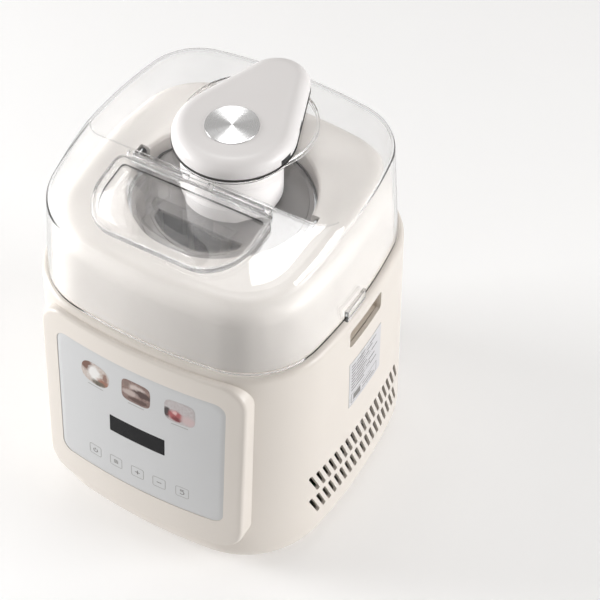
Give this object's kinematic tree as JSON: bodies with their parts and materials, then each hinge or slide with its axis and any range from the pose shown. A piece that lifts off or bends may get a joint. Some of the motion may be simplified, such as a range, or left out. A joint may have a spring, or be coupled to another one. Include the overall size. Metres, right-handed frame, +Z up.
{
  "type": "ice cream maker",
  "caption": "Compressor ice cream maker: cream body with touch panel, clear lid with feed flap, lift-off motor head, removable bowl and dasher.",
  "frame": {"origin": "centre of the bounding box on the table plane; the bowl and drive axis is the Z axis", "axes": "+Z up, front panel towards -Y, rating label side towards +X"},
  "size_m": [0.24, 0.261, 0.3194],
  "materials": {
    "cream_body": "satin moulded ABS",
    "cream_head": "satin moulded ABS",
    "white_cover": "smooth moulded ABS",
    "clear_lid": "clear polycarbonate",
    "grey_clear": "smoke grey translucent plastic",
    "silver_film": "silver grey printed film",
    "black_window": "gloss black",
    "dark_plastic": "moulded dark plastic",
    "rubber_black": "matt rubber",
    "rubber_grey": "matt silicone",
    "steel_bowl": "brushed stainless",
    "spun_disc": "radially spun metal",
    "pan_paint": "zinc and paint",
    "compressor_paint": "gloss black paint",
    "aluminium": "plain",
    "copper_tube": "copper tube",
    "bronze": "sintered bronze",
    "foam": "rigid foam",
    "board_green": "solder mask",
    "label_white": "printed film",
    "white_nylon": "nylon",
    "zinc_screw": "zinc plated"
  },
  "bodies": {
    "machine": {"outer_shell": "cream_body", "base_pan": "pan_paint", "feet": "rubber_black", "front_bezel": "cream_body", "panel_membrane": "silver_film", "display_window": "black_window", "control_board": "board_green", "rear_grille": "cream_body", "ac_inlet": "dark_plastic", "rating_label": "label_white", "grip_pockets": "cream_body", "top_cover": "white_cover", "cover_gasket": "rubber_grey", "evaporator_can": "steel_bowl", "evaporator_coil": "copper_tube", "insulation": "foam", "compressor": "compressor_paint", "compressor_mounts": "rubber_black", "compressor_bolts": "zinc_screw", "start_relay": "dark_plastic", "condenser_fins": "aluminium", "condenser_tubes": "copper_tube", "fan_frame": "dark_plastic", "filter_drier": "copper_tube", "discharge_pipe": "copper_tube", "power_board": "board_green", "power_post": "cream_head", "lid_switch": "dark_plastic", "base_screws": "zinc_screw"},
    "fan": {"fan_impeller": "dark_plastic"},
    "bowl_unit": {"bowl": "steel_bowl"},
    "dasher_unit": {"dasher": "white_nylon", "drive_stem": "white_nylon"},
    "inner_lid": {"bowl_lid": "grey_clear", "bowl_lid_seal": "rubber_grey"},
    "clear_cover": {"lid_shell": "clear_lid", "lid_collar": "clear_lid", "lid_tabs": "clear_lid", "hinge_pin": "clear_lid"},
    "flap": {"feed_flap": "clear_lid"},
    "head": {"head_cover": "cream_head", "head_seal": "rubber_black", "metal_disc": "spun_disc", "motor_housing": "cream_head", "housing_bush": "bronze", "gear_plate": "aluminium", "motor": "zinc_screw", "head_contacts": "bronze", "head_screws": "zinc_screw"},
    "drive_output": {"output_gear": "white_nylon"},
    "drive_idler": {"idler_gear": "white_nylon"},
    "motor_rotor": {"motor_pinion": "bronze"}
  },
  "joints": [
    {"name": "bowl_lift", "type": "slide", "parent": "machine", "child": "bowl_unit", "axis": [0, 0, 1], "range_m": [0, 0.15]},
    {"name": "dasher_spin", "type": "hinge", "parent": "bowl_unit", "child": "dasher_unit", "pos_m": [0, 0, 0.2], "axis": [0, 0, 1], "continuous": true},
    {"name": "inner_lid_lift", "type": "slide", "parent": "bowl_unit", "child": "inner_lid", "axis": [0, 0, 1], "range_m": [0, 0.05]},
    {"name": "cover_lift", "type": "slide", "parent": "inner_lid", "child": "clear_cover", "axis": [0, 0, 1], "range_m": [0, 0.09]},
    {"name": "flap_open", "type": "hinge", "parent": "clear_cover", "child": "flap", "pos_m": [0, -0.0307, 0.30228], "axis": [-1, 0, 0], "range_deg": [0, 95]},
    {"name": "head_lift", "type": "slide", "parent": "clear_cover", "child": "head", "axis": [0, 0, 1], "range_m": [0, 0.06]},
    {"name": "output_spin", "type": "hinge", "parent": "head", "child": "drive_output", "pos_m": [0, 0, 0.268], "axis": [0, 0, 1], "continuous": true},
    {"name": "idler_spin", "type": "hinge", "parent": "head", "child": "drive_idler", "pos_m": [0, 0.021, 0.268], "axis": [0, 0, 1], "continuous": true},
    {"name": "motor_spin", "type": "hinge", "parent": "head", "child": "motor_rotor", "pos_m": [0.017, 0.021, 0.275], "axis": [0, 0, 1], "continuous": true},
    {"name": "fan_spin", "type": "hinge", "parent": "machine", "child": "fan", "pos_m": [0, 0.095, 0.0625], "axis": [0, 1, 0], "continuous": true}
  ],
  "couplings": [
    {"joint": "output_spin", "follows": "dasher_spin", "ratio": 1},
    {"joint": "idler_spin", "follows": "dasher_spin", "ratio": -3.2},
    {"joint": "motor_spin", "follows": "dasher_spin", "ratio": 7.68}
  ]
}
